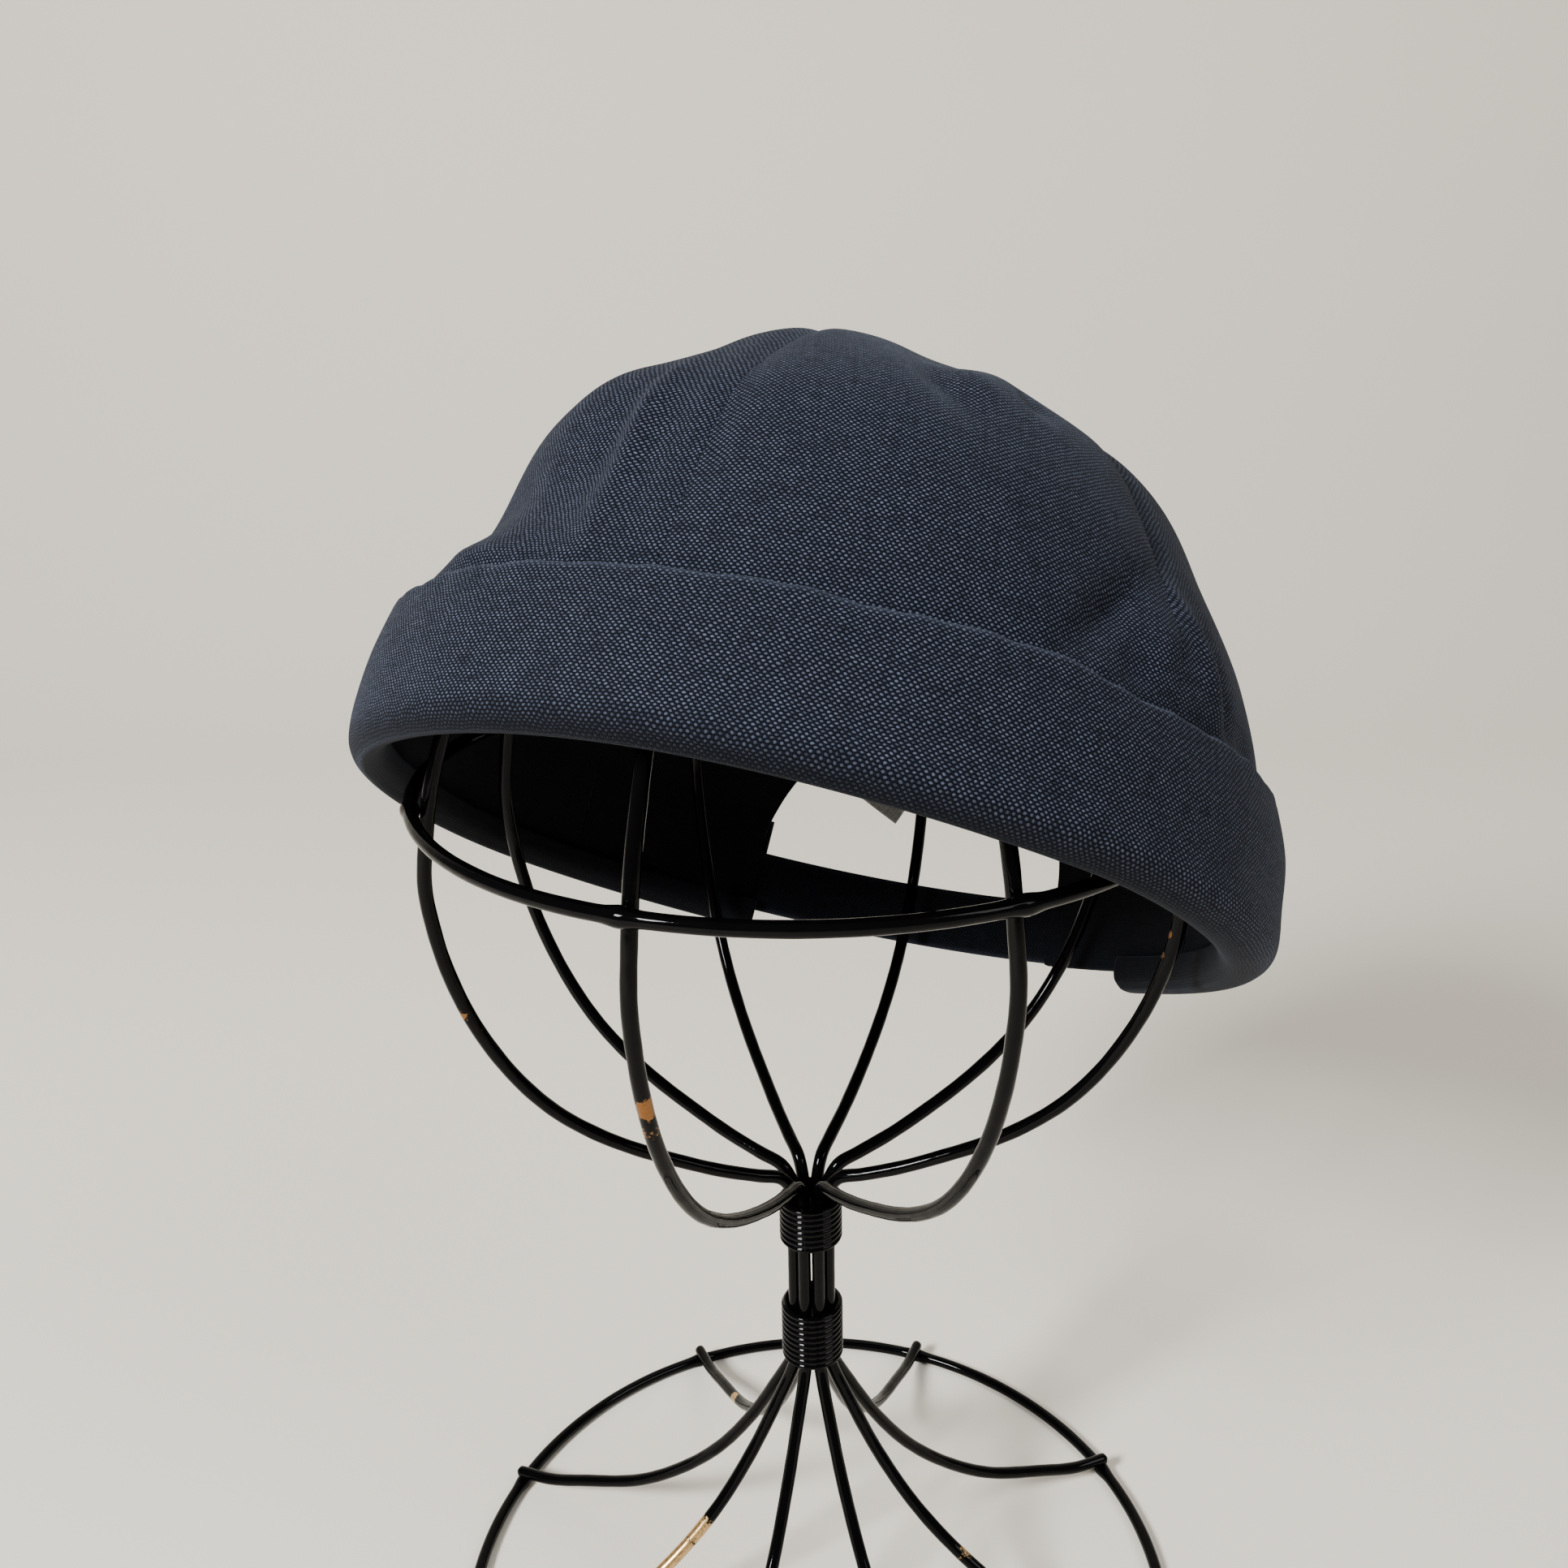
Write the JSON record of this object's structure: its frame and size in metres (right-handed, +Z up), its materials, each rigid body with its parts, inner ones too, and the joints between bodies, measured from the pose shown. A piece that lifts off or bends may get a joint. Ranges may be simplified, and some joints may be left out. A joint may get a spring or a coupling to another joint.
{
  "type": "fisherman cap on a wire hat stand",
  "caption": "Brimless rolled-cuff fisherman cap of panelled navy canvas with a half-moon back opening and strap, resting tipped back on a bent-wire hat stand.",
  "frame": {"origin": "middle of the bottom of the whole object's box, on the surface the base ring stands on", "axes": "+Z up along the stand's stem; -Y towards the viewer of the picture, the cap's front seam lies about 27 degrees to the viewer's left of -Y; +X to the viewer's right"},
  "size_m": [0.1994, 0.1934, 0.3256],
  "materials": {
    "navy_canvas": "matt plain-weave canvas, blue-grey nubs on navy",
    "label_cloth": "plain woven tape, blank",
    "stand_paint": "glossy black paint on steel wire, chipped to a coppery metal in places"
  },
  "bodies": {
    "root": {"stand_wire_1": "stand_paint", "stand_wire_2": "stand_paint", "stand_wire_3": "stand_paint", "stand_wire_4": "stand_paint", "stand_wire_5": "stand_paint", "stand_wire_6": "stand_paint", "stand_wire_7": "stand_paint", "stand_wire_8": "stand_paint", "cage_ring": "stand_paint", "base_ring": "stand_paint", "upper_collar": "stand_paint", "lower_collar": "stand_paint", "cage_top_disc": "stand_paint", "crown_panel_1": "navy_canvas", "crown_panel_2": "navy_canvas", "crown_panel_3": "navy_canvas", "crown_panel_4": "navy_canvas", "crown_panel_5": "navy_canvas", "crown_panel_6": "navy_canvas", "cuff": "navy_canvas", "back_strap": "navy_canvas", "inner_label": "label_cloth"}
  },
  "joints": []
}
